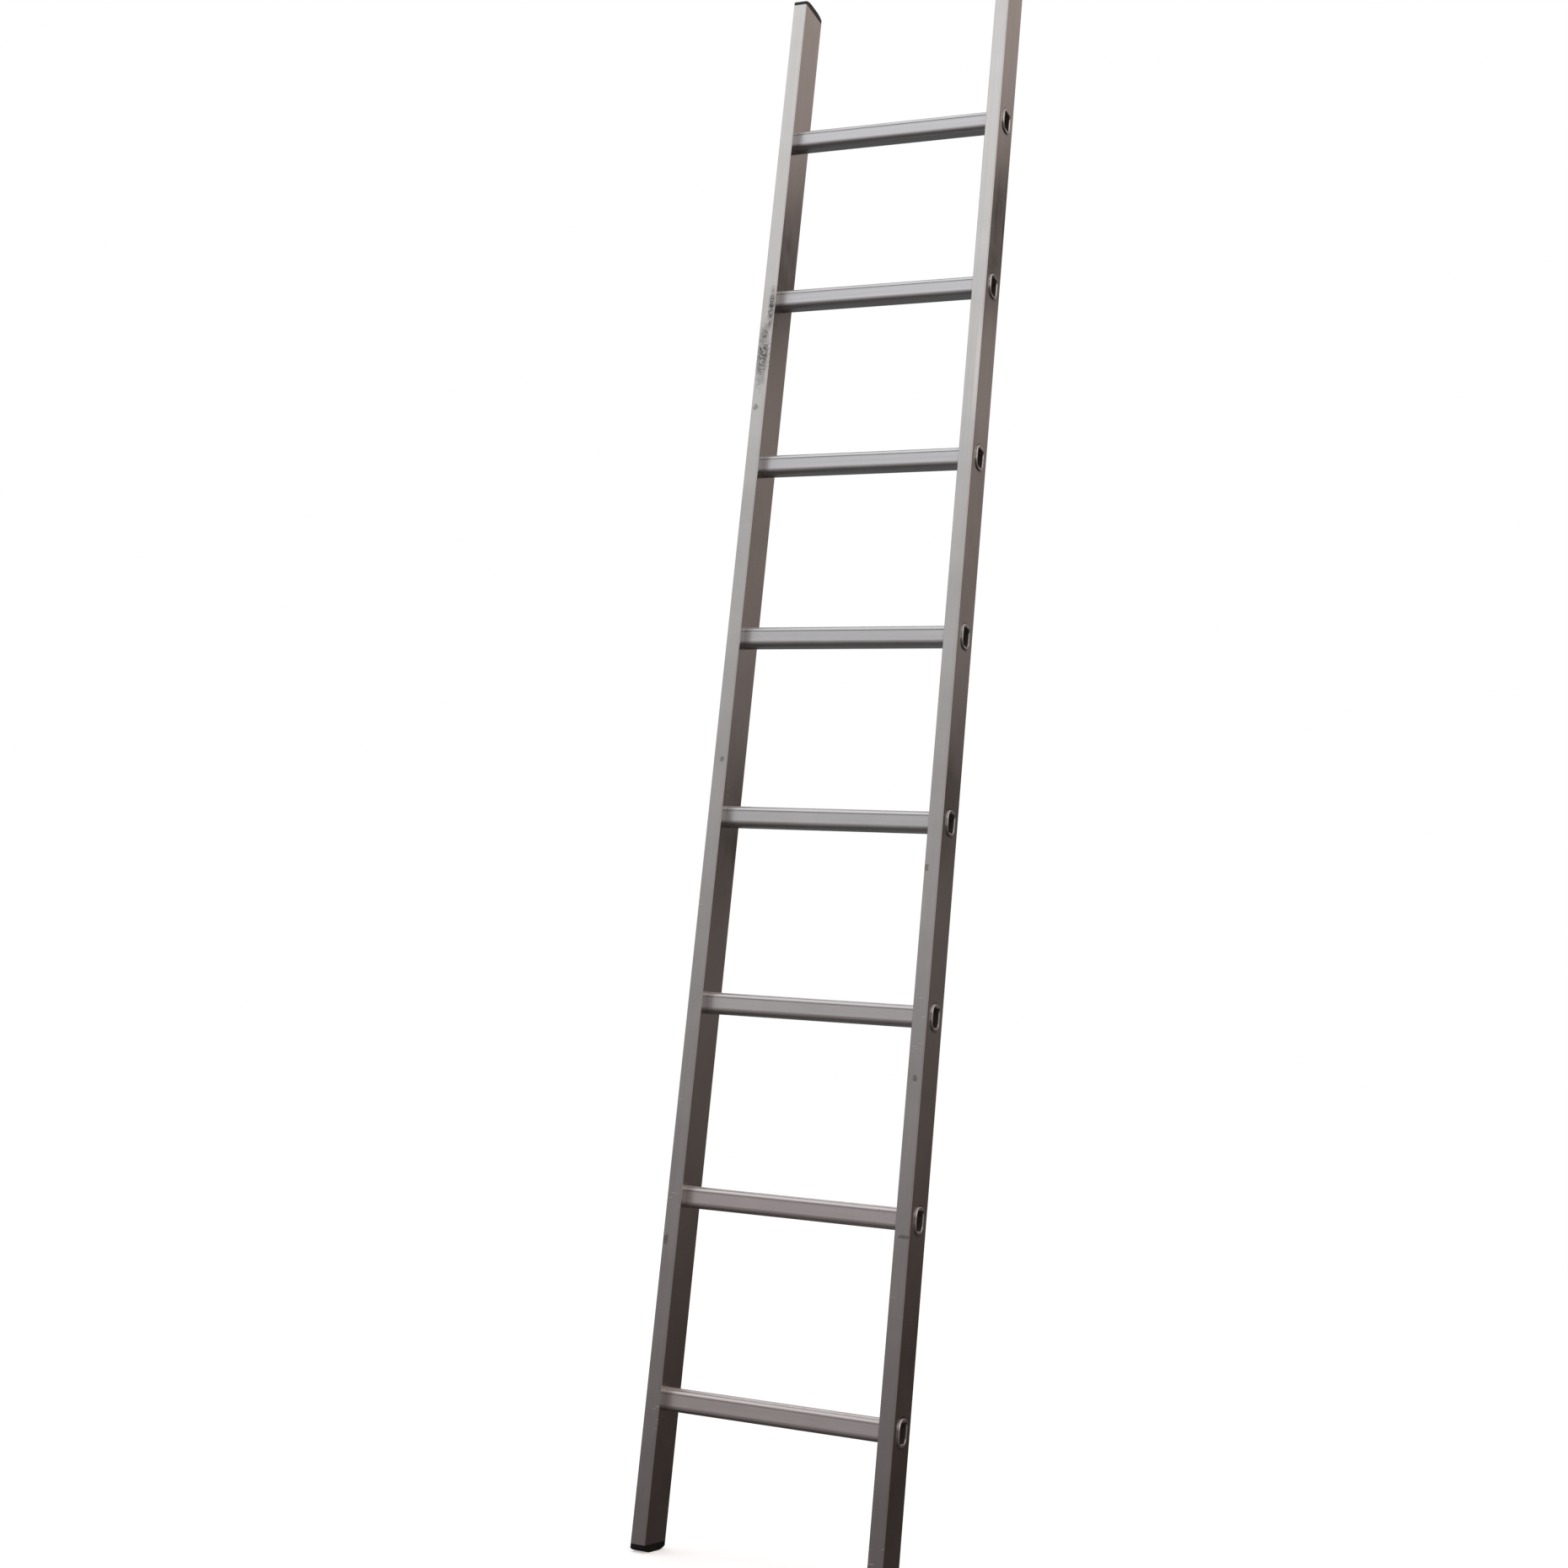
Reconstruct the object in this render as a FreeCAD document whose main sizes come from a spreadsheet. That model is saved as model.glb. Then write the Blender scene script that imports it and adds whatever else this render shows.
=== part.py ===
import FreeCAD, Part
import math
import os

import Sketcher

# A straight single-section aluminium ladder, standing upright. X runs across it, -Y is the side that
# is climbed, and Z runs up the stiles. The origin is on the ground, midway between the two feet.
# Millimetres.

SIZES = {
    # stiles
    "outer_width": 374.0,       # over the outer faces of the two stiles
    "stile_width": 22.5,        # of one stile, along X
    "stile_depth": 67.5,        # along Y
    "stile_wall": 1.5,
    "stile_corner": 2.0,
    "stile_length": 2388.0,
    # rungs
    "rung_pitch": 280.0,
    "first_rung": 203.0,        # height of the lowest rung's middle
    "rung_depth": 28.0,         # along Y
    "rung_height": 31.0,
    "rung_wall": 1.6,
    "tread_wall": 2.4,
    "bead_corner": 6.0,         # corner radius on both sides of the tread
    "under_corner": 8.5,        # corner radius under the rung
    "bead_drop": 7.3,           # from the tread down to the groove line under the bead
    "bead_groove_width": 1.6,
    "bead_groove_deep": 0.6,
    "tread_groove_width": 1.0,
    "tread_groove_deep": 0.7,
    "tread_groove_spread": 12.5,    # from the first groove in the tread to the last
    "tread_groove_count": 6.0,
    # how a rung is held
    "hole_gap": 0.1,            # play between a rung's end and the hole it passes through
    "shoulder_gap": 0.2,        # from the rung's full section to the stile's inner face
    "lip_depth": 34.5,          # of the rolled lip outside the stile, along Y
    "lip_height": 38.0,
    "lip_corner": 14.5,
    "lip_thick": 2.2,           # how far the lip stands out from the stile
    "lip_round": 1.2,           # on the lip's outer edge
    "mouth_round": 2.0,         # on its inner edge, where the bore opens
    "swage_reach": 2.0,         # how far the ring inside the stile stands out around the rung
    "swage_width": 4.0,
    # plugs in the ends of the stiles
    "plug_flange": 5.8,         # height of the plug's head at its front and back
    "plug_crown": 5.0,          # further height at the middle
    "plug_flat": 24.0,          # flat stretch at the middle of the crown
    "plug_edge": 0.8,
    "plug_stem": 42.0,          # length inside the stile
    "plug_wall": 2.5,
    "plug_gap": 0.15,           # play between the stem and the stile
    "sole_groove_width": 2.0,
    "sole_groove_deep": 1.5,
    "sole_groove_spread": 42.0,     # from the first groove in the sole to the last
    "sole_groove_count": 8.0,
}
RUNGS = 8
SIDES = (("left", -1), ("right", 1))
END_START, END_STOP = 1, 2      # the two ends of a sketch line or arc
X_AXIS = -1                     # the sketch's own X axis, as a constraint names it
ORIGIN = (-1, 1)                # the sketch's own origin, as a constraint names it
CLOSE = 0.01                    # two levels nearer than this are the same one
CROWN_MARGIN = 0.5              # how far above the crown its edges' middle points may lie
LEAST_CUT = 1.0                 # a cut that removes less than this, in cubic millimetres, has missed


class Length:
    """A length worked out from the sheet: its value now, and the expression that keeps it so."""

    def __init__(self, value, text):
        self.value = value
        self.text = text

    def join(self, sign, other, value):
        return Length(value, f"({self.text} {sign} {other.text})")

    def __add__(self, other):
        return self.join("+", other, self.value + other.value)

    def __sub__(self, other):
        return self.join("-", other, self.value - other.value)

    def __mul__(self, number):
        return Length(self.value * number, f"({self.text} * {number})")

    def __truediv__(self, number):
        return Length(self.value / number, f"({self.text} / {number})")


NOTHING = Length(0.0, "0")


def size(alias):
    return Length(SIZES[alias], f"Sizes.{alias}")


def make_sheet(doc):
    sheet = doc.addObject("Spreadsheet::Sheet", "Sizes")
    for row, (alias, value) in enumerate(SIZES.items(), start=1):
        sheet.set(f"A{row}", alias)
        sheet.set(f"B{row}", str(value))
        sheet.setAlias(f"B{row}", alias)
    doc.recompute()


# Sketches ---------------------------------------------------------------------------------------------


def origin_feature(body, role):
    return next(f for f in body.Origin.OriginFeatures if f.Role == role)


def sketch_on(body, role, name, out=None):
    """A sketch on one of the body's origin planes, moved out along the plane's normal if out is given."""
    sketch = body.newObject("Sketcher::SketchObject", f"{body.Name}_{name}_sketch")
    sketch.AttachmentSupport = (origin_feature(body, role), [""])
    sketch.MapMode = "FlatFace"
    if out:
        sketch.AttachmentOffset = FreeCAD.Placement(FreeCAD.Vector(0, 0, out.value), FreeCAD.Rotation())
        sketch.setExpression("AttachmentOffset.Base.z", out.text)
    return sketch


def line(sketch, start, end):
    return sketch.addGeometry(Part.LineSegment(FreeCAD.Vector(*start), FreeCAD.Vector(*end)), False)


def arc(sketch, centre, radius, first_angle, last_angle):
    circle = Part.Circle(FreeCAD.Vector(*centre), FreeCAD.Vector(0, 0, 1), radius)
    return sketch.addGeometry(Part.ArcOfCircle(circle, first_angle, last_angle), False)


def relate(sketch, kind, *parts):
    sketch.addConstraint(Sketcher.Constraint(kind, *parts))


def dimension(sketch, kind, *parts, length):
    index = sketch.addConstraint(Sketcher.Constraint(kind, *parts, length.value))
    sketch.setExpression(f"Constraints[{index}]", length.text)


def set_level(sketch, kind, point, length, positive):
    """Sets a point's distance from the sketch's origin, on its positive or negative side."""
    ends = (*ORIGIN, *point) if positive else (*point, *ORIGIN)
    dimension(sketch, kind, *ends, length=length)


def rounded_box(sketch, half_width, top, bottom, top_radius, bottom_radius):
    """A closed outline with round corners: half_width to each side, and from bottom below to top above."""
    w, t, b = half_width.value, top.value, bottom.value
    rt, rb = top_radius.value, bottom_radius.value
    quarter = math.pi / 2
    lower = line(sketch, (rb - w, -b), (w - rb, -b))
    right = line(sketch, (w, rb - b), (w, t - rt))
    upper = line(sketch, (w - rt, t), (rt - w, t))
    left = line(sketch, (-w, t - rt), (-w, rb - b))
    corners = [
        (lower, right, (w - rb, rb - b), bottom_radius, -1),
        (right, upper, (w - rt, t - rt), top_radius, 0),
        (upper, left, (rt - w, t - rt), top_radius, 1),
        (left, lower, (rb - w, rb - b), bottom_radius, 2),
    ]
    for before, after, centre, radius, turn in corners:
        corner = arc(sketch, centre, radius.value, turn * quarter, (turn + 1) * quarter)
        relate(sketch, "Tangent", before, END_STOP, corner, END_START)
        relate(sketch, "Tangent", corner, END_STOP, after, END_START)
        dimension(sketch, "Radius", corner, length=radius)
    relate(sketch, "Horizontal", lower)
    relate(sketch, "Horizontal", upper)
    relate(sketch, "Vertical", right)
    relate(sketch, "Vertical", left)
    set_level(sketch, "DistanceX", (right, END_START), half_width, True)
    set_level(sketch, "DistanceX", (left, END_START), half_width, False)
    set_level(sketch, "DistanceY", (upper, END_START), top, True)
    set_level(sketch, "DistanceY", (lower, END_START), bottom, False)


def plain_box(sketch, near, far, low, high):
    """A closed rectangle. Each side is a (length, positive) pair: its distance and side of the origin."""
    sides = (near, far, low, high)
    x1, x2, y1, y2 = (length.value if positive else -length.value for length, positive in sides)
    corners = [(x1, y1), (x2, y1), (x2, y2), (x1, y2)]
    lines = [line(sketch, corners[i], corners[(i + 1) % 4]) for i in range(4)]
    for i, side in enumerate(lines):
        relate(sketch, "Coincident", side, END_STOP, lines[(i + 1) % 4], END_START)
        relate(sketch, "Vertical" if i % 2 else "Horizontal", side)
    set_level(sketch, "DistanceX", (lines[0], END_START), *near)
    set_level(sketch, "DistanceX", (lines[2], END_START), *far)
    set_level(sketch, "DistanceY", (lines[0], END_START), *low)
    set_level(sketch, "DistanceY", (lines[2], END_START), *high)


# Features ---------------------------------------------------------------------------------------------


def pad(body, sketch, name, length, symmetric=False, reverse=False):
    feature = body.newObject("PartDesign::Pad", f"{body.Name}_{name}")
    feature.Profile = sketch
    feature.SideType = "Symmetric" if symmetric else "One side"
    feature.Reversed = reverse
    feature.setExpression("Length", length.text)
    sketch.Visibility = False
    return feature


def cut_through(body, sketch, name):
    """A pocket through everything, to both sides of its sketch."""
    feature = body.newObject("PartDesign::Pocket", f"{body.Name}_{name}")
    feature.Profile = sketch
    feature.Type = "ThroughAll"
    feature.SideType = "Symmetric"
    sketch.Visibility = False
    return feature


def repeat(body, feature, name, axis, length, count, reverse=False):
    pattern = body.newObject("PartDesign::LinearPattern", f"{body.Name}_{name}")
    pattern.Originals = [feature]
    pattern.Direction = (origin_feature(body, axis), [""])
    pattern.Reversed = reverse
    pattern.setExpression("Length", length.text)
    pattern.Occurrences = count
    body.Tip = pattern
    return pattern


def mirror(body, features, name, plane):
    mirrored = body.newObject("PartDesign::Mirrored", f"{body.Name}_{name}")
    mirrored.Originals = features
    mirrored.MirrorPlane = (origin_feature(body, plane), [""])
    body.Tip = mirrored
    return mirrored


def round_edges(body, base, name, radius, wanted):
    """Rounds the edges of base whose middle point passes the test."""
    body.Document.recompute()
    edges = base.Shape.Edges
    names = [f"Edge{i}" for i, edge in enumerate(edges, start=1) if wanted(edge.CenterOfMass)]
    if not names:
        raise RuntimeError(f"{body.Name}: {name} has no edge to round")
    fillet = body.newObject("PartDesign::Fillet", f"{body.Name}_{name}")
    fillet.Base = (base, names)
    fillet.setExpression("Radius", radius.text)
    return fillet


def new_body(doc, name, moves):
    """A body placed by expressions: moves maps x, y or z to a Length."""
    body = doc.addObject("PartDesign::Body", name)
    body.Label = name
    for axis, length in moves.items():
        body.setExpression(f"Placement.Base.{axis}", length.text)
    return body


def check_removed(body, before, after):
    """Stops the build if a cut took nothing away."""
    body.Document.recompute()
    if after.Shape.Volume > before.Shape.Volume - LEAST_CUT:
        raise RuntimeError(f"{after.Name} removes nothing")


# Derived lengths --------------------------------------------------------------------------------------

stile_middle = (size("outer_width") - size("stile_width")) / 2
plug_height = size("plug_flange") + size("plug_crown")
stile_top = plug_height + size("stile_length")
half_rung = size("rung_depth") / 2
half_height = size("rung_height") / 2
half_outside = size("outer_width") / 2
half_inside = half_outside - size("stile_width")
lip_face = half_outside + size("lip_thick")


def rung_level(index):
    """Height of a rung's middle; the lowest rung has index 0."""
    return size("first_rung") + size("rung_pitch") * index


# Sub-parts --------------------------------------------------------------------------------------------


def rung_outline(sketch, grow):
    """The rung's outline, larger all round by grow, or smaller if grow is negative."""
    rounded_box(
        sketch,
        half_rung + grow,
        half_height + grow,
        half_height + grow,
        size("bead_corner") + grow,
        size("under_corner") + grow,
    )


def make_stile(doc, side, sign):
    """A box extrusion with a rung hole through both walls at each rung."""
    body = new_body(doc, f"stile_{side}", {"x": stile_middle * sign, "z": plug_height})
    section = sketch_on(body, "XY_Plane", "section")
    half_width, half_depth = size("stile_width") / 2, size("stile_depth") / 2
    corner = size("stile_corner")
    rounded_box(section, half_width, half_depth, half_depth, corner, corner)
    wall = size("stile_wall")
    bore_corner = corner - wall
    inside = half_depth - wall
    rounded_box(section, half_width - wall, inside, inside, bore_corner, bore_corner)
    tube = pad(body, section, "tube", size("stile_length"))

    outline = sketch_on(body, "YZ_Plane", "hole")
    level = size("first_rung") - plug_height
    outline.AttachmentOffset = FreeCAD.Placement(FreeCAD.Vector(0, level.value, 0), FreeCAD.Rotation())
    outline.setExpression("AttachmentOffset.Base.y", level.text)
    rung_outline(outline, NOTHING)
    hole = cut_through(body, outline, "hole")
    check_removed(body, tube, hole)
    repeat(body, hole, "holes", "Z_Axis", size("rung_pitch") * (RUNGS - 1), RUNGS)


def cut_tread_grooves(body, base):
    """Fine grooves along the tread, for grip."""
    sketch = sketch_on(body, "YZ_Plane", "tread_groove")
    first = size("tread_groove_spread") / 2
    half_groove = size("tread_groove_width") / 2
    floor = half_height - size("tread_groove_deep")
    above = half_height + size("tread_groove_deep")
    plain_box(
        sketch,
        (first + half_groove, False),
        (first - half_groove, False),
        (floor, True),
        (above, True),
    )
    groove = cut_through(body, sketch, "tread_groove")
    check_removed(body, base, groove)
    count = int(SIZES["tread_groove_count"])
    return repeat(body, groove, "tread_grooves", "Y_Axis", size("tread_groove_spread"), count)


def cut_bead_grooves(body, base):
    """The fine line under the bead, on the front face and on the back face."""
    sketch = sketch_on(body, "YZ_Plane", "bead_groove")
    level = half_height - size("bead_drop")
    half_groove = size("bead_groove_width") / 2
    floor = half_rung - size("bead_groove_deep")
    outside = half_rung + size("bead_groove_deep")
    plain_box(
        sketch,
        (outside, False),
        (floor, False),
        (level - half_groove, True),
        (level + half_groove, True),
    )
    groove = cut_through(body, sketch, "bead_groove")
    check_removed(body, base, groove)
    return mirror(body, [groove], "bead_grooves", "XZ_Plane")


def add_rung_ends(body):
    """The rolled lip outside each stile and the swaged ring just inside its inner wall."""
    lip_sketch = sketch_on(body, "YZ_Plane", "lip", half_outside)
    half_lip, corner = size("lip_height") / 2, size("lip_corner")
    rounded_box(lip_sketch, size("lip_depth") / 2, half_lip, half_lip, corner, corner)
    lip = pad(body, lip_sketch, "lip", size("lip_thick"))
    swage_sketch = sketch_on(body, "YZ_Plane", "swage", half_inside + size("stile_wall"))
    rung_outline(swage_sketch, size("swage_reach"))
    swage = pad(body, swage_sketch, "swage", size("swage_width"))
    return mirror(body, [lip, swage], "ends", "YZ_Plane")


def bore_rung(body, base):
    """The hollow inside the rung, through both rolled ends."""
    sketch = sketch_on(body, "YZ_Plane", "bore")
    wall = size("rung_wall")
    rounded_box(
        sketch,
        half_rung - wall,
        half_height - size("tread_wall"),
        half_height - wall,
        size("bead_corner") - wall,
        size("under_corner") - wall,
    )
    bore = cut_through(body, sketch, "bore")
    check_removed(body, base, bore)
    return bore


def roll_lips(body, base):
    """Rounds the lips: widely at the mouth of the bore, and less at the outer edge."""
    lip_reach = SIZES["lip_depth"] / 2

    def on_lip_face(point):
        return abs(abs(point.x) - lip_face.value) < CLOSE

    def in_mouth(point):
        return on_lip_face(point) and math.hypot(point.y, point.z) < lip_reach - CLOSE

    def on_rim(point):
        return on_lip_face(point) and math.hypot(point.y, point.z) > lip_reach - CLOSE

    mouths = round_edges(body, base, "mouth_round", size("mouth_round"), in_mouth)
    round_edges(body, mouths, "lip_round", size("lip_round"), on_rim)


def make_rung(doc, index):
    """A hollow extruded rung. Its ends are drawn in, pass through the stiles and are rolled over."""
    body = new_body(doc, f"rung_{index + 1}", {"z": rung_level(index)})
    section = sketch_on(body, "YZ_Plane", "section")
    rung_outline(section, NOTHING)
    pad(body, section, "bar", (half_inside - size("shoulder_gap")) * 2, symmetric=True)
    end_section = sketch_on(body, "YZ_Plane", "end_section")
    rung_outline(end_section, size("hole_gap") * -1)
    bar = pad(body, end_section, "ends_drawn_in", size("outer_width"), symmetric=True)
    treaded = cut_tread_grooves(body, bar)
    cut_bead_grooves(body, treaded)
    ends = add_rung_ends(body)
    bore = bore_rung(body, ends)
    roll_lips(body, bore)


def plug_profile(sketch):
    """Side view of the plug's head: a crown with a flat middle, and a flat seat against the stile."""
    half, flat = SIZES["stile_depth"] / 2, SIZES["plug_flat"] / 2
    crown, seat = SIZES["plug_crown"], plug_height.value
    run = half - flat
    radius = (run**2 + crown**2) / (2 * crown)
    swing = math.atan2(run, radius - crown)
    up = -math.pi / 2
    sole = line(sketch, (-flat, 0), (flat, 0))
    back_curve = arc(sketch, (flat, radius), radius, up, up + swing)
    back = line(sketch, (half, crown), (half, seat))
    top = line(sketch, (half, seat), (-half, seat))
    front = line(sketch, (-half, seat), (-half, crown))
    front_curve = arc(sketch, (-flat, radius), radius, up - swing, up)
    relate(sketch, "Horizontal", sole)
    relate(sketch, "Horizontal", top)
    relate(sketch, "Vertical", back)
    relate(sketch, "Vertical", front)
    relate(sketch, "Tangent", sole, END_STOP, back_curve, END_START)
    relate(sketch, "Coincident", back_curve, END_STOP, back, END_START)
    relate(sketch, "Coincident", back, END_STOP, top, END_START)
    relate(sketch, "Coincident", top, END_STOP, front, END_START)
    relate(sketch, "Coincident", front, END_STOP, front_curve, END_START)
    relate(sketch, "Tangent", front_curve, END_STOP, sole, END_START)
    relate(sketch, "PointOnObject", sole, END_START, X_AXIS)
    set_level(sketch, "DistanceX", (sole, END_START), size("plug_flat") / 2, False)
    set_level(sketch, "DistanceX", (sole, END_STOP), size("plug_flat") / 2, True)
    set_level(sketch, "DistanceX", (back, END_START), size("stile_depth") / 2, True)
    set_level(sketch, "DistanceX", (front, END_START), size("stile_depth") / 2, False)
    set_level(sketch, "DistanceY", (back, END_START), size("plug_crown"), True)
    set_level(sketch, "DistanceY", (front, END_STOP), size("plug_crown"), True)
    set_level(sketch, "DistanceY", (top, END_START), plug_height, True)


def add_plug_stem(body):
    """The hollow stem that is pushed into the stile."""
    sketch = sketch_on(body, "XY_Plane", "stem", plug_height)
    inset = size("stile_wall") + size("plug_gap")
    half_width = size("stile_width") / 2 - inset
    half_depth = size("stile_depth") / 2 - inset
    corner = size("stile_corner") - size("stile_wall")
    wall = size("plug_wall")
    rounded_box(sketch, half_width, half_depth, half_depth, corner, corner)
    inside = half_depth - wall
    rounded_box(sketch, half_width - wall, inside, inside, corner, corner)
    return pad(body, sketch, "stem", size("plug_stem"))


def cut_sole_grooves(body, base):
    """Grip grooves across the sole."""
    sketch = sketch_on(body, "YZ_Plane", "sole_groove")
    first = size("sole_groove_spread") / 2
    half_groove = size("sole_groove_width") / 2
    deep = size("sole_groove_deep")
    plain_box(
        sketch,
        (first + half_groove, False),
        (first - half_groove, False),
        (deep, False),
        (deep, True),
    )
    groove = cut_through(body, sketch, "sole_groove")
    count = int(SIZES["sole_groove_count"])
    grooves = repeat(body, groove, "sole_grooves", "Y_Axis", size("sole_groove_spread"), count)
    check_removed(body, base, grooves)


def make_plug(doc, name, sign, upside_down):
    """A moulded end plug. A foot stands as drawn; a cap is the same head turned over in the stile's top."""
    body = new_body(doc, name, {"x": stile_middle * sign})
    if upside_down:
        turned = FreeCAD.Rotation(FreeCAD.Vector(1, 0, 0), 180)
        body.Placement = FreeCAD.Placement(body.Placement.Base, turned)
        body.setExpression("Placement.Base.z", (stile_top + plug_height).text)
    profile = sketch_on(body, "YZ_Plane", "head")
    plug_profile(profile)
    head = pad(body, profile, "head", size("stile_width"), symmetric=True)
    half_width, half_depth = SIZES["stile_width"] / 2, SIZES["stile_depth"] / 2

    def upright_corner(point):
        at_side = abs(abs(point.x) - half_width) < CLOSE
        at_front_or_back = abs(abs(point.y) - half_depth) < CLOSE
        return at_side and at_front_or_back and SIZES["plug_crown"] < point.z < plug_height.value

    def crown_edge(point):
        return point.z < SIZES["plug_crown"] + CROWN_MARGIN

    cornered = round_edges(body, head, "corners", size("stile_corner"), upright_corner)
    round_edges(body, cornered, "edges", size("plug_edge"), crown_edge)
    stem = add_plug_stem(body)
    if not upside_down:
        cut_sole_grooves(body, stem)


# Build and export -------------------------------------------------------------------------------------


def check(doc, bodies):
    for item in doc.Objects:
        if "Invalid" in item.State or "Error" in item.State:
            raise RuntimeError(f"{item.Name} is {item.State}")
    for body in bodies:
        if body.Shape.isNull() or not body.Shape.isValid() or len(body.Shape.Solids) != 1:
            raise RuntimeError(f"{body.Label} is not one valid solid")


def main():
    doc = FreeCAD.newDocument("ladder")
    make_sheet(doc)
    for side, sign in SIDES:
        make_stile(doc, side, sign)
        make_plug(doc, f"foot_{side}", sign, upside_down=False)
        make_plug(doc, f"cap_{side}", sign, upside_down=True)
    for index in range(RUNGS):
        make_rung(doc, index)
    doc.recompute()
    bodies = [item for item in doc.Objects if item.TypeId == "PartDesign::Body"]
    check(doc, bodies)
    os.makedirs("parts", exist_ok=True)
    for body in bodies:
        body.Shape.exportStep(f"parts/{body.Label}.step")
        print(body.Label, round(body.Shape.Volume), [round(v, 2) for v in body.Shape.BoundBox.Center])


main()
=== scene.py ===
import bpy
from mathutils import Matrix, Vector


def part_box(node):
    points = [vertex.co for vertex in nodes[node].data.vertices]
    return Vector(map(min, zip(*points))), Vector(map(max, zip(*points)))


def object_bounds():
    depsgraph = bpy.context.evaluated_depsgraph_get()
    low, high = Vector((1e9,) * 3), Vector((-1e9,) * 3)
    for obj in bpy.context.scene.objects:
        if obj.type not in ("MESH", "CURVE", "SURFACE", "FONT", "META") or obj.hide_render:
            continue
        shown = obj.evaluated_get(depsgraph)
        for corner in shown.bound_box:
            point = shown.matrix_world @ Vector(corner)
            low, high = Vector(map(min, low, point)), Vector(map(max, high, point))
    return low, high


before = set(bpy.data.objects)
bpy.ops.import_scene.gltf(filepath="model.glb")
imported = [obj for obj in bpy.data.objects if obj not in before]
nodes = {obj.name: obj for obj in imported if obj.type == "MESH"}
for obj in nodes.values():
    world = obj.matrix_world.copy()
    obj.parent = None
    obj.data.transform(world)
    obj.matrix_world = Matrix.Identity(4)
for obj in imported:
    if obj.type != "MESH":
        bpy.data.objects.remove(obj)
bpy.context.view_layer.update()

import math

import bpy
from mathutils import Euler, Matrix

# The straight aluminium ladder, standing upright on a pale floor. The shapes are the CAD nodes' own. This
# script gives them their metal, rubber and plastic, and makes the floor, the studio light and the camera.
# Everything is in metres, in the CAD's frame: X across the ladder, -Y the side that is climbed, Z up.

scene = bpy.context.scene
low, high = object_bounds()


# Sizes read from the frame ----------------------------------------------------------------------------

rung_names = sorted(name for name in nodes if name.startswith("rung_"))
rung_levels = [sum(corner.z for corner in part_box(name)) / 2 for name in rung_names]
RUNG_PITCH = rung_levels[1] - rung_levels[0]
LOWEST_RUNG = rung_levels[0]
# the rungs' section and rolled lips, at the sizes that the CAD gives them
RUNG_HALF_HEIGHT = 0.0155
BEAD_DROP = 0.0073          # from the tread down to the groove line under the bead
BORE_HALF_DEPTH = 0.0124
BORE_HALF_HEIGHT = 0.0139
LIP_HALF_DEPTH = 0.01725
LIP_HALF_HEIGHT = 0.019
LIP_CORNER = 0.0145
# the right stile's inner, outer and front faces
STILE_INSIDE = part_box("stile_right")[0].x
STILE_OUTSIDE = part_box("stile_right")[1].x
STILE_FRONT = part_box("stile_right")[0].y


# Shader graphs ----------------------------------------------------------------------------------------


class Graph:
    """A short way to write a node tree. add returns the new node, split all its outputs and feed nothing.
    The other methods return the new node's one useful output."""

    def __init__(self, tree):
        self.tree = tree
        self.tree.nodes.clear()

    def add(self, kind, inputs=None, **settings):
        made = self.tree.nodes.new(kind)
        for name, value in settings.items():
            setattr(made, name, value)
        for key, value in (inputs or {}).items():
            self.feed(made.inputs[key], value)
        return made

    def feed(self, socket, value):
        if isinstance(value, bpy.types.NodeSocket):
            self.tree.links.new(value, socket)
        elif hasattr(value, "__len__") and len(value) == 3 and socket.type == "RGBA":
            socket.default_value = (*value, 1.0)
        else:
            socket.default_value = value

    def math(self, operation, *values, clamp=False):
        inputs = dict(enumerate(values))
        return self.add("ShaderNodeMath", inputs, operation=operation, use_clamp=clamp).outputs[0]

    def split(self, vector):
        return self.add("ShaderNodeSeparateXYZ", {0: vector}).outputs

    def stretch(self, vector, factors):
        """The vector with each part multiplied, to draw a texture out along an axis."""
        scaled = self.add("ShaderNodeVectorMath", {0: vector, 1: factors}, operation="MULTIPLY")
        return scaled.outputs[0]

    def step(self, value, start, stop):
        """A soft step: 0 at start and 1 at stop, either way round."""
        made = self.add("ShaderNodeMapRange", {0: value, 1: start, 2: stop}, interpolation_type="SMOOTHSTEP")
        return made.outputs[0]

    def spread(self, value, lowest, highest, start=0.3, stop=0.7):
        """A noise value from start to stop, spread evenly from lowest to highest."""
        made = self.add("ShaderNodeMapRange", {0: value, 1: start, 2: stop, 3: lowest, 4: highest})
        return made.outputs[0]

    def noise(self, vector, scale, detail=2.0, roughness=0.5):
        inputs = {"Vector": vector, "Scale": scale, "Detail": detail, "Roughness": roughness}
        return self.add("ShaderNodeTexNoise", inputs).outputs[0]

    def cells(self, vector, scale):
        """Distance from the middle of the nearest cell."""
        return self.add("ShaderNodeTexVoronoi", {"Vector": vector, "Scale": scale}).outputs[0]

    def mix(self, share, first, second):
        made = self.add("ShaderNodeMix", {0: share, 6: first, 7: second}, data_type="RGBA")
        return made.outputs[2]

    def bump(self, height, distance, below=None):
        inputs = {"Height": height, "Distance": distance, "Strength": 1.0}
        if below is not None:
            inputs["Normal"] = below
        return self.add("ShaderNodeBump", inputs).outputs[0]


def new_material(name):
    material = bpy.data.materials.new(name)
    material.use_nodes = True
    return material, Graph(material.node_tree)


def finish_surface(graph, color, roughness, normal, tangent=None, **constants):
    """A Principled surface. The constants are set on the shader's own sockets."""
    inputs = {"Base Color": color, "Roughness": roughness, "Normal": normal}
    if tangent is not None:
        inputs["Tangent"] = tangent
    shader = graph.add("ShaderNodeBsdfPrincipled", inputs)
    for socket, value in constants.items():
        shader.inputs[socket.replace("_", " ")].default_value = value
    graph.add("ShaderNodeOutputMaterial", {"Surface": shader.outputs[0]})


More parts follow.
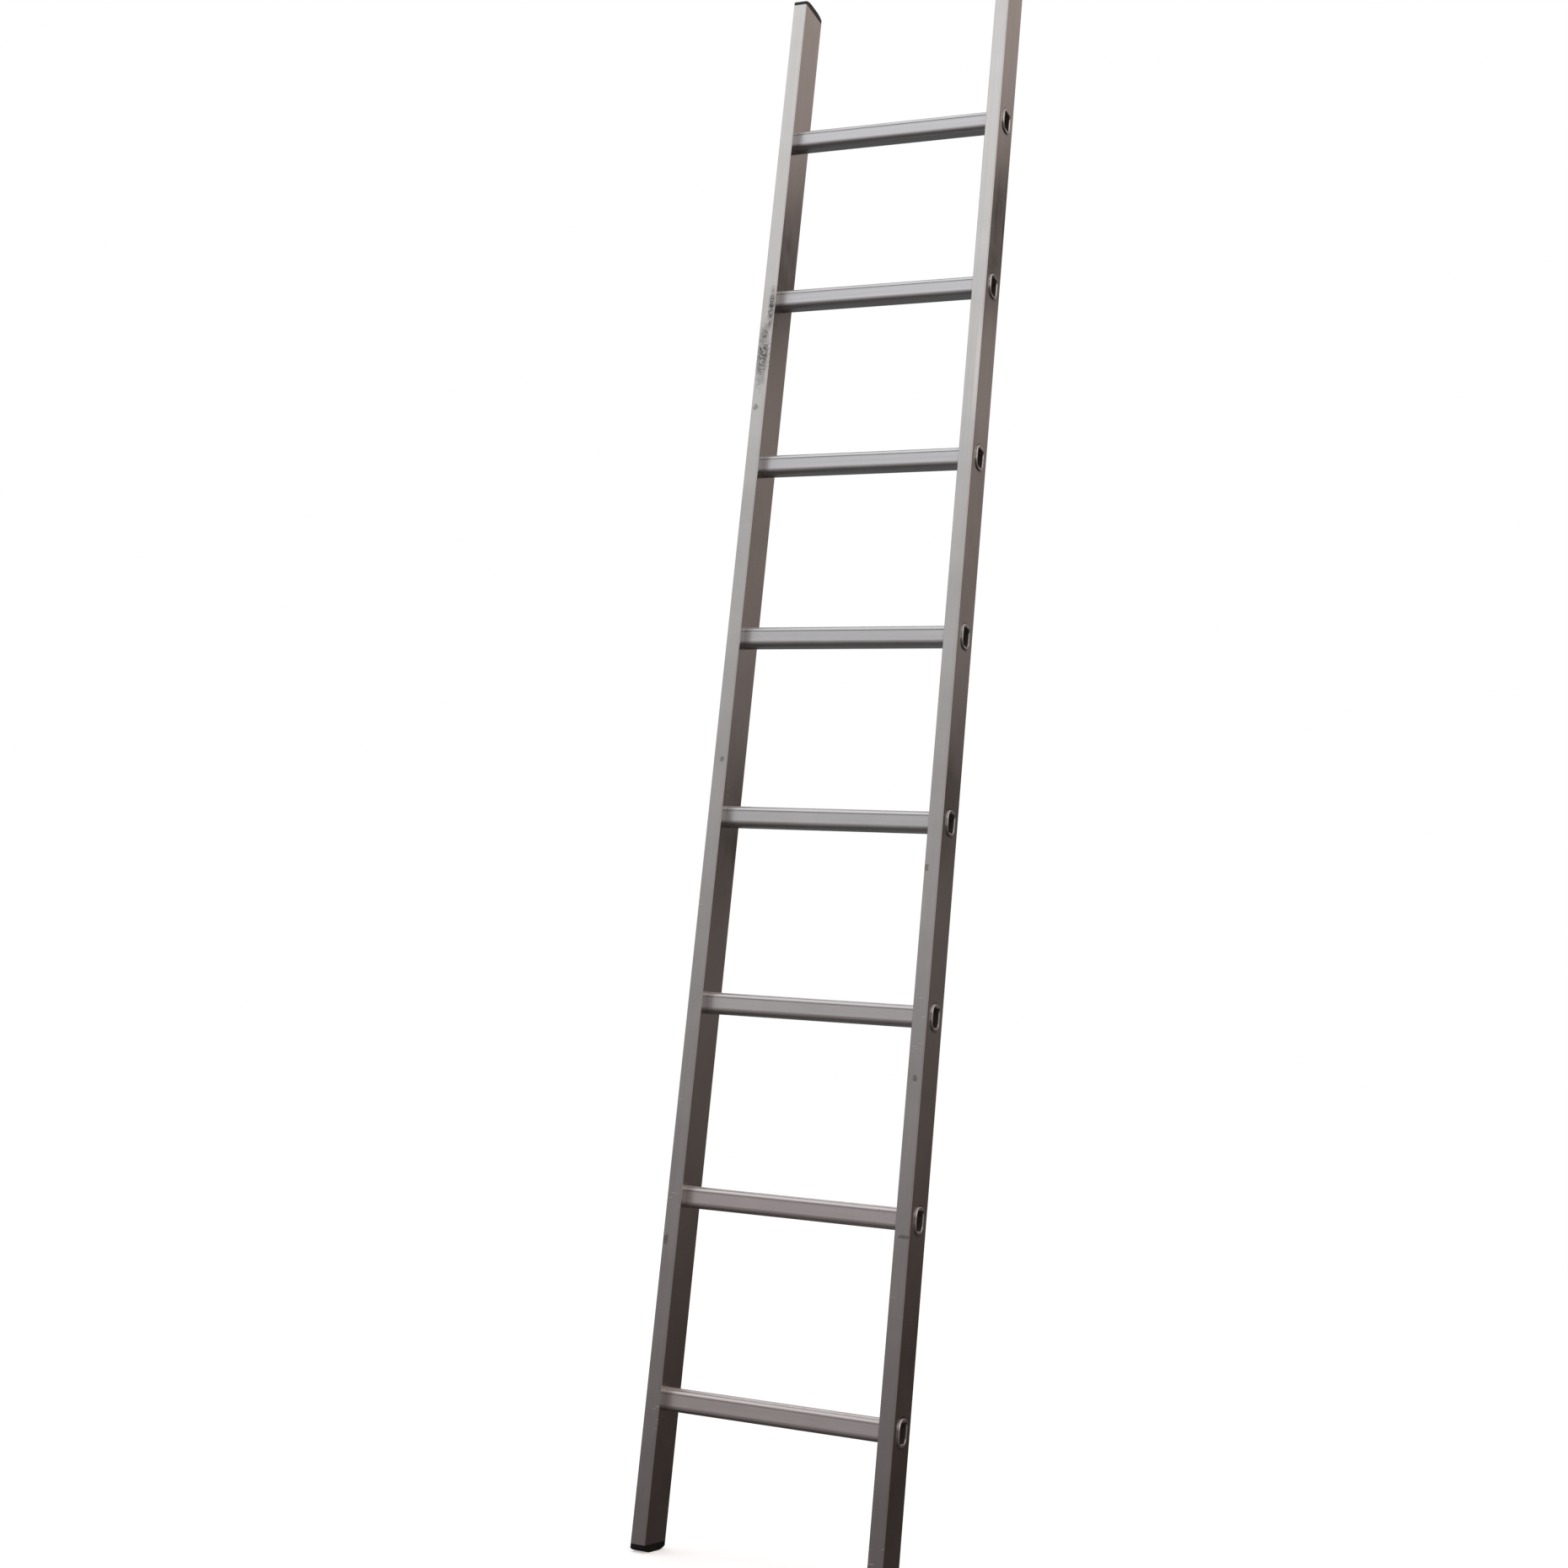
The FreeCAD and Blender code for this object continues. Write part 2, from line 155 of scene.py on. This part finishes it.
def round_axis(graph, axis):
    """The direction round the axis. Die lines run along the axis, so they spread a reflection this way."""
    return graph.add("ShaderNodeTangent", direction_type="RADIAL", axis=axis).outputs[0]


def near_rung(graph, z):
    """Height above the middle of the nearest rung."""
    half_pitch = RUNG_PITCH / 2
    return graph.math("WRAP", graph.math("SUBTRACT", z, LOWEST_RUNG), half_pitch, -half_pitch)


def past_lip(graph, y, level):
    """Distance outside the outline of the rolled lip, on the wall round it."""
    beyond_y = graph.math("SUBTRACT", graph.math("ABSOLUTE", y), LIP_HALF_DEPTH - LIP_CORNER)
    beyond_level = graph.math("SUBTRACT", graph.math("ABSOLUTE", level), LIP_HALF_HEIGHT - LIP_CORNER)
    corner_y = graph.math("POWER", graph.math("MAXIMUM", beyond_y, 0.0), 2.0)
    corner_level = graph.math("POWER", graph.math("MAXIMUM", beyond_level, 0.0), 2.0)
    return graph.math("SUBTRACT", graph.math("SQRT", graph.math("ADD", corner_y, corner_level)), LIP_CORNER)


# Aluminium --------------------------------------------------------------------------------------------


def handling_marks(graph, place, seed):
    """Cloudy haze and small dark scuffs that bare metal picks up, as two masks."""
    moved = graph.add("ShaderNodeVectorMath", {0: place, 1: seed}, operation="ADD").outputs[0]
    haze = graph.spread(graph.noise(moved, 11.0, 5.0, 0.6), 0.0, 1.0, 0.32, 0.68)
    patch = graph.step(graph.noise(moved, 5.0, 2.0), 0.56, 0.68)
    speck = graph.step(graph.noise(moved, 210.0, 4.0, 0.65), 0.60, 0.70)
    scuff = graph.math("MULTIPLY", patch, speck)
    return haze, scuff


def spot(graph, place, middle, reach, ragged):
    """A smudge round a point: 1 at the middle, 0 past its reach along each axis, with a ragged edge."""
    away = graph.add("ShaderNodeVectorMath", {0: place, 1: middle}, operation="SUBTRACT").outputs[0]
    scaled = graph.stretch(away, tuple(1 / part for part in reach))
    distance = graph.add("ShaderNodeVectorMath", {0: scaled}, operation="LENGTH").outputs["Value"]
    return graph.step(graph.math("ADD", distance, ragged), 1.1, 0.55)


# Marks on the stiles, each as (middle, reach).
WORN_PATCH = ((STILE_OUTSIDE, 0.0, 1.73), (0.01, 0.060, 0.12))
RESIDUE_LOW = ((-0.1765, STILE_FRONT, 1.782), (0.011, 0.010, 0.064))
RESIDUE_HIGH = ((-0.170, STILE_FRONT, 1.858), (0.006, 0.010, 0.045))
# small dark knocks on the front faces
KNOCKS = [
    ((-0.179, STILE_FRONT, 1.692), (0.005, 0.004, 0.006)),
    ((-0.173, STILE_FRONT, 1.126), (0.004, 0.004, 0.005)),
    ((-0.182, STILE_FRONT, 0.422), (0.004, 0.004, 0.008)),
    ((0.168, STILE_FRONT, 0.972), (0.004, 0.004, 0.006)),
    ((0.177, STILE_FRONT, 0.675), (0.004, 0.004, 0.005)),
    ((0.179, STILE_FRONT, 0.460), (0.010, 0.004, 0.003)),
]


def stile_metal():
    """Mill-finish extrusion with die lines along Z, handling marks, and grime and painted contact shade round
    the rung ends.
    """
    material, graph = new_material("stile_extrusion")
    place = graph.add("ShaderNodeTexCoord").outputs["Object"]
    x, y, z = graph.split(place)
    haze, scuff = handling_marks(graph, place, (0.0, 0.0, 0.0))
    fine_lines = graph.noise(graph.stretch(place, (900.0, 900.0, 4.0)), 1.0, 2.0)
    streaks = graph.noise(graph.stretch(place, (260.0, 260.0, 1.6)), 1.0, 3.0, 0.6)
    dents = graph.noise(graph.stretch(place, (45.0, 45.0, 16.0)), 1.0, 2.0)

    # short bright nicks across the outer face of the right stile, where something has rubbed it
    nick_place = graph.stretch(place, (26.0, 26.0, 420.0))
    nick_line = graph.step(graph.cells(nick_place, 1.0), 0.16, 0.06)
    worn_zone = spot(graph, place, *WORN_PATCH, 0.0)
    nick_zone = graph.math("MAXIMUM", worn_zone, graph.step(graph.noise(place, 7.0, 1.0), 0.56, 0.66))
    nicks = graph.math("MULTIPLY", nick_line, nick_zone)

    # grime on the outer wall close round each lip, and painted contact shade where the lip meets the wall: a
    # dark ring
    beside_lip = past_lip(graph, y, near_rung(graph, z))
    outer_wall = graph.step(graph.math("ABSOLUTE", x), STILE_OUTSIDE - 0.002, STILE_OUTSIDE - 0.0005)
    close_by = graph.math("MULTIPLY", graph.step(beside_lip, 0.0045, 0.0), outer_wall)
    lip_shade_and_grime = graph.math("MULTIPLY", close_by, graph.spread(haze, 0.6, 1.0, 0.0, 1.0))

    # residue of something rubbed off the front of the left stile, under the second rung from the top
    flecks = graph.noise(graph.stretch(place, (210.0, 210.0, 230.0)), 1.0, 4.0, 0.7)
    mark_grain = graph.step(flecks, 0.40, 0.58)
    mark_patch = graph.step(graph.noise(place, 75.0, 3.0, 0.6), 0.32, 0.56)
    ragged = graph.spread(flecks, -0.45, 0.45)
    low_part = spot(graph, place, *RESIDUE_LOW, ragged)
    high_part = spot(graph, place, *RESIDUE_HIGH, ragged)
    residue = graph.math("MAXIMUM", low_part, high_part)
    residue = graph.math("MULTIPLY", residue, graph.math("MULTIPLY_ADD", mark_grain, 0.7, 0.3))
    residue = graph.math("MULTIPLY", residue, graph.math("MULTIPLY_ADD", mark_patch, 0.6, 0.4))

    knocks = 0.0
    for middle, knock_reach in KNOCKS:
        knocks = graph.math("MAXIMUM", spot(graph, place, middle, knock_reach, ragged), knocks)

    clean = graph.mix(haze, (0.605, 0.600, 0.597), (0.690, 0.685, 0.683))
    streaked = graph.mix(graph.spread(streaks, 0.0, 0.35), clean, (0.56, 0.55, 0.545))
    scuffed = graph.mix(graph.math("MULTIPLY", scuff, 0.45), streaked, (0.20, 0.19, 0.185))
    rubbed = graph.mix(graph.math("MULTIPLY", worn_zone, 0.55), scuffed, (0.86, 0.85, 0.82))
    # the wall round each lip is darkened here: grime and painted contact shade
    grimed_and_shaded = graph.mix(graph.math("MULTIPLY", lip_shade_and_grime, 0.75), rubbed, (0.15, 0.14, 0.13))
    nicked = graph.mix(graph.math("MULTIPLY", nicks, 0.7), grimed_and_shaded, (0.86, 0.86, 0.86))
    knocked = graph.mix(graph.math("MULTIPLY", knocks, 0.6), nicked, (0.20, 0.19, 0.185))
    color = graph.mix(graph.math("MULTIPLY", residue, 0.95), knocked, (0.060, 0.054, 0.050))

    hazed = graph.spread(haze, 0.15, 0.21, 0.0, 1.0)
    roughness = graph.math("ADD", hazed, graph.spread(streaks, -0.02, 0.03))
    roughness = graph.math("ADD", roughness, graph.math("MULTIPLY", residue, 0.25))
    roughness = graph.math("ADD", roughness, graph.math("MULTIPLY", scuff, 0.15), clamp=True)

    normal = graph.bump(dents, 0.00006)
    normal = graph.bump(streaks, 0.000012, normal)
    normal = graph.bump(fine_lines, 0.000003, normal)
    normal = graph.bump(graph.math("MULTIPLY", nicks, -1.0), 0.00006, normal)
    finish_surface(graph, color, roughness, normal, round_axis(graph, "Z"), Metallic=1.0, Anisotropic=0.55)
    return material


def rung_metal():
    """The rungs' brighter extrusion: die lines along X, a scuffed tread and burnished rolled lips."""
    material, graph = new_material("rung_extrusion")
    place = graph.add("ShaderNodeTexCoord").outputs["Object"]
    x, y, z = graph.split(place)
    haze, scuff = handling_marks(graph, place, (3.1, 1.7, 0.4))
    fine_lines = graph.noise(graph.stretch(place, (4.0, 900.0, 900.0)), 1.0, 2.0)
    streaks = graph.noise(graph.stretch(place, (2.2, 340.0, 340.0)), 1.0, 3.0, 0.6)
    dents = graph.noise(graph.stretch(place, (24.0, 80.0, 80.0)), 1.0, 2.0)
    level = near_rung(graph, z)
    across = graph.math("ABSOLUTE", x)

    tread = RUNG_HALF_HEIGHT
    on_tread = graph.step(level, tread - 0.003, tread - 0.0005)
    rub_grain = graph.noise(graph.stretch(place, (90.0, 420.0, 60.0)), 1.0, 4.0, 0.65)
    rubbed = graph.math("MULTIPLY", on_tread, graph.step(rub_grain, 0.45, 0.62))
    below_tread = graph.math("ABSOLUTE", graph.math("SUBTRACT", level, tread - BEAD_DROP))
    in_groove = graph.step(below_tread, 0.0014, 0.0006)
    off_middle, off_level = graph.math("ABSOLUTE", y), graph.math("ABSOLUTE", level)
    within_depth = graph.step(off_middle, BORE_HALF_DEPTH + 0.0010, BORE_HALF_DEPTH + 0.0002)
    within_height = graph.step(off_level, BORE_HALF_HEIGHT + 0.0008, BORE_HALF_HEIGHT + 0.0001)
    in_bore = graph.math("MULTIPLY", within_depth, within_height)
    at_lip = graph.step(across, STILE_OUTSIDE - 0.001, STILE_OUTSIDE + 0.0005)
    roll_marks = graph.noise(graph.stretch(place, (500.0, 160.0, 160.0)), 1.0, 3.0)
    # painted shade, with some grime: the rung darkens over its last 14 mm before each stile's inner face
    end_shade_and_grime = graph.step(across, STILE_INSIDE - 0.014, STILE_INSIDE)
    end_shade_and_grime = graph.math("MULTIPLY", end_shade_and_grime, graph.spread(haze, 0.3, 1.0, 0.0, 1.0))
    # a warmer, browner tone on the lower rungs, fading out upwards
    lower_rung_tone = graph.step(z, LOWEST_RUNG + 3.5 * RUNG_PITCH, LOWEST_RUNG + 0.5 * RUNG_PITCH)

    clean = graph.mix(haze, (0.772, 0.790, 0.804), (0.846, 0.866, 0.880))
    streaked = graph.mix(graph.spread(streaks, 0.0, 0.4), clean, (0.70, 0.71, 0.72))
    lower_toned = graph.mix(graph.math("MULTIPLY", lower_rung_tone, 0.8), streaked, (0.81, 0.745, 0.735))
    scuffed = graph.mix(graph.math("MULTIPLY", scuff, 0.5), lower_toned, (0.22, 0.21, 0.205))
    worn = graph.mix(graph.math("MULTIPLY", rubbed, 0.35), scuffed, (0.42, 0.40, 0.38))
    # painted shade along the groove under the bead, with dirt in it: the band is darkened
    groove_shade_and_dirt = graph.mix(graph.math("MULTIPLY", in_groove, 0.4), worn, (0.30, 0.29, 0.285))
    grimed_and_shaded = graph.mix(graph.math("MULTIPLY", end_shade_and_grime, 0.15), groove_shade_and_dirt, (0.34, 0.325, 0.31))
    rolled = graph.mix(graph.math("MULTIPLY", at_lip, 0.8), grimed_and_shaded, (0.80, 0.79, 0.78))
    # painted shade inside the bore, with some oxide: the hollow's walls are darkened
    color = graph.mix(graph.math("MULTIPLY", in_bore, 0.55), rolled, (0.24, 0.215, 0.20))

    hazed = graph.spread(haze, 0.31, 0.38, 0.0, 1.0)
    spread_out = graph.math("ADD", hazed, graph.spread(streaks, -0.03, 0.05))
    rubbed_out = graph.math("ADD", spread_out, graph.math("MULTIPLY", rubbed, 0.12))
    roughness = graph.math("SUBTRACT", rubbed_out, graph.math("MULTIPLY", at_lip, 0.22), clamp=True)

    normal = graph.bump(dents, 0.00008)
    normal = graph.bump(streaks, 0.000015, normal)
    normal = graph.bump(fine_lines, 0.000003, normal)
    normal = graph.bump(graph.math("MULTIPLY", roll_marks, at_lip), 0.00010, normal)
    finish_surface(graph, color, roughness, normal, round_axis(graph, "X"), Metallic=0.88, Anisotropic=0.55)
    return material


# Rubber and plastic -----------------------------------------------------------------------------------


def foot_rubber():
    """Black moulded rubber, matt, dusty towards the sole."""
    material, graph = new_material("moulded_rubber")
    place = graph.add("ShaderNodeTexCoord").outputs["Object"]
    z = graph.split(place)[2]
    grain = graph.noise(place, 1900.0, 3.0, 0.6)
    patches = graph.noise(place, 70.0, 4.0, 0.6)
    low_down = graph.step(z, 0.008, 0.0)
    dust_share = graph.spread(low_down, 0.15, 0.8, 0.0, 1.0)
    dust = graph.math("MULTIPLY", graph.step(patches, 0.42, 0.66), dust_share)
    clean = graph.mix(patches, (0.008, 0.008, 0.008), (0.016, 0.0155, 0.015))
    color = graph.mix(graph.math("MULTIPLY", dust, 0.35), clean, (0.060, 0.056, 0.050))
    roughness = graph.math("ADD", graph.spread(patches, 0.62, 0.78), graph.math("MULTIPLY", dust, 0.12))
    normal = graph.bump(patches, 0.00008)
    normal = graph.bump(grain, 0.00005, normal)
    finish_surface(graph, color, roughness, normal, Specular_IOR_Level=0.2)
    return material


def cap_plastic():
    """Black moulded plastic with a fine grain, rubbed paler along the top of its crown."""
    material, graph = new_material("moulded_plastic")
    place = graph.add("ShaderNodeTexCoord").outputs["Object"]
    z = graph.split(place)[2]
    grain = graph.noise(place, 1500.0, 2.0, 0.5)
    patches = graph.noise(place, 90.0, 4.0, 0.6)
    high_up = graph.step(z, high.z - 0.006, high.z)
    rubbed = graph.math("MULTIPLY", high_up, graph.step(patches, 0.40, 0.60))
    clean = graph.mix(patches, (0.024, 0.022, 0.021), (0.040, 0.037, 0.035))
    color = graph.mix(graph.math("MULTIPLY", rubbed, 0.5), clean, (0.085, 0.080, 0.076))
    roughness = graph.math("ADD", graph.spread(patches, 0.40, 0.52), graph.math("MULTIPLY", rubbed, 0.15))
    normal = graph.bump(patches, 0.00006)
    normal = graph.bump(grain, 0.00004, normal)
    finish_surface(graph, color, roughness, normal, Specular_IOR_Level=0.5)
    return material


finishes = {"stile": stile_metal(), "rung": rung_metal(), "foot": foot_rubber(), "cap": cap_plastic()}
for name, node in nodes.items():
    node.data.materials[0] = finishes[name.split("_")[0]]


# Studio light -----------------------------------------------------------------------------------------

# Brightness of the surroundings by height, as (sine of the angle above the horizon, brightness) pairs.
# FRONT is what the climbed side sees, BESIDE what lies behind and to the right, BEHIND what lies behind
# and to the left.
FRONT = [(-1.0, 0.09), (-0.15, 0.14), (0.0, 0.27), (0.3, 0.63), (0.37, 0.80), (0.5, 0.96), (1.0, 0.86)]
BESIDE = [
    (-1.0, 0.03), (-0.1, 0.035), (0.0, 0.07), (0.13, 0.12),
    (0.2, 0.16), (0.36, 0.22), (0.46, 0.33), (1.0, 0.6),
]
BEHIND = [(-1.0, 0.05), (-0.45, 0.11), (-0.2, 0.13), (-0.05, 0.17), (0.03, 0.42), (0.2, 0.6), (1.0, 0.95)]
BRIGHTEST = 2.0
# Two soft dark bands across BESIDE, like the gaps between softboxes: (sine of the middle, depth).
DARK_BANDS = [(0.16, 0.75), (0.40, 1.0)]
BAND_CORE, BAND_EDGE = 0.012, 0.032     # where a band is darkest and where it ends, from its middle
# Tints, low down and high up.
FRONT_TINTS = (1.10, 0.98, 0.96), (1.03, 1.0, 1.01)
BESIDE_TINTS = (1.30, 1.0, 0.90), (1.20, 1.0, 0.92)
BEHIND_TINTS = (1.0, 1.0, 1.02), (1.0, 1.0, 1.02)
DIM_GAIN = (0.62, 0.59, 0.57)           # in front, a little to the right
WARM_GAIN = (1.35, 1.25, 1.12)          # in front, far to the right
TINT_LOW, TINT_HIGH = -0.10, 0.20       # the sines between which one tint gives way to the other
BESIDE_MIDDLE = 0.38        # how far to the right, as a part of the direction, BESIDE's heights are given
BESIDE_SLOPE = 0.27         # how fast its bands sink further to the right


def brightness_by_height(graph, height, stops, tints):
    """A smooth ramp through the stops. A ramp holds colours up to 1, so it is scaled afterwards."""
    low_tint, high_tint = tints
    ramp = graph.add("ShaderNodeValToRGB", {0: graph.math("MULTIPLY_ADD", height, 0.5, 0.5)})
    elements = ramp.color_ramp.elements
    while len(elements) < len(stops):
        elements.new(0.5)
    for element, (sine, brightness) in zip(elements, stops):
        element.position = (sine + 1) / 2
        level = brightness / BRIGHTEST
        share = min(max((sine - TINT_LOW) / (TINT_HIGH - TINT_LOW), 0.0), 1.0)
        tint = [low_part + share * (high_part - low_part) for low_part, high_part in zip(low_tint, high_tint)]
        element.color = (*(level * part for part in tint), 1.0)
    return ramp.outputs[0]


def make_surroundings():
    """Plain white to the camera. To the object, soft studio light that is brighter above and in front."""
    world = bpy.data.worlds.new("studio")
    scene.world = world
    world.use_nodes = True
    graph = Graph(world.node_tree)
    direction = graph.add("ShaderNodeTexCoord").outputs["Generated"]
    x, y, z = graph.split(direction)
    to_right = graph.math("SUBTRACT", x, BESIDE_MIDDLE)
    band_height = graph.math("MULTIPLY_ADD", to_right, BESIDE_SLOPE, z)
    front = brightness_by_height(graph, z, FRONT, FRONT_TINTS)
    beside = brightness_by_height(graph, band_height, BESIDE, BESIDE_TINTS)
    for middle, depth in DARK_BANDS:
        off_middle = graph.math("ABSOLUTE", graph.math("SUBTRACT", band_height, middle))
        shade = graph.math("MULTIPLY", graph.step(off_middle, BAND_EDGE, BAND_CORE), depth)
        beside = graph.mix(shade, beside, (0.0, 0.0, 0.0))
    behind = brightness_by_height(graph, z, BEHIND, BEHIND_TINTS)
    back = graph.mix(graph.step(x, -0.25, 0.25), behind, beside)
    dim_front = graph.stretch(front, DIM_GAIN)
    warm_front = graph.stretch(front, WARM_GAIN)
    front_half = graph.mix(graph.step(x, -0.05, 0.35), front, dim_front)
    front_half = graph.mix(graph.step(x, 0.55, 0.8), front_half, warm_front)
    around = graph.mix(graph.step(y, 0.15, -0.15), back, front_half)
    lit = graph.add("ShaderNodeBackground", {"Color": around, "Strength": BRIGHTEST}).outputs[0]
    seen = graph.add("ShaderNodeBackground", {"Color": (1.0, 1.0, 1.0), "Strength": 1.0}).outputs[0]
    is_camera = graph.add("ShaderNodeLightPath").outputs["Is Camera Ray"]
    both = graph.add("ShaderNodeMixShader", {0: is_camera, 1: lit, 2: seen}).outputs[0]
    graph.add("ShaderNodeOutputWorld", {"Surface": both})


FLOOR_REACH = 60.0
FLOOR_GLOW = 0.45           # what the floor gives out itself, so that it stays pale


def make_floor():
    """A wide pale floor. It shows to the camera only, and the surroundings stand for it in the metal."""
    reach = FLOOR_REACH
    mesh = bpy.data.meshes.new("floor")
    corners = [(-reach, -reach), (reach, -reach), (reach, reach), (-reach, reach)]
    mesh.from_pydata([(x, y, low.z) for x, y in corners], [], [(0, 1, 2, 3)])
    floor = bpy.data.objects.new("floor", mesh)
    scene.collection.objects.link(floor)
    floor.visible_glossy = False
    floor.visible_diffuse = False
    material, graph = new_material("pale_floor")
    glow = graph.add("ShaderNodeEmission", {"Color": (1.0, 1.0, 1.0), "Strength": FLOOR_GLOW}).outputs[0]
    matt = graph.add("ShaderNodeBsdfDiffuse", {"Color": (0.93, 0.93, 0.93)}).outputs[0]
    both = graph.add("ShaderNodeAddShader", {0: glow, 1: matt}).outputs[0]
    graph.add("ShaderNodeOutputMaterial", {"Surface": both})
    mesh.materials.append(material)


LENS, SENSOR_WIDTH, SHIFT_Y = 50.05, 36.0, -0.0946
HEADING, TILT, ROLL = math.radians(24.275), math.radians(13.886), math.radians(5.711)
EYE = (1.2304, -2.9640, 0.5237)


def make_camera():
    """The viewing angle: from low on the right, looking up, with the ladder leaning in the picture."""
    data = bpy.data.cameras.new("camera")
    data.lens = LENS
    data.sensor_width = SENSOR_WIDTH
    data.shift_y = SHIFT_Y
    data.clip_start, data.clip_end = 0.05, 500.0
    camera = bpy.data.objects.new("camera", data)
    scene.collection.objects.link(camera)
    turn = Euler((math.pi / 2 + TILT, 0.0, HEADING)).to_matrix() @ Matrix.Rotation(ROLL, 3, "Z")
    camera.matrix_world = Matrix.Translation(EYE) @ turn.to_4x4()
    scene.camera = camera


scene.view_settings.view_transform = "Standard"
make_surroundings()
make_floor()
make_camera()
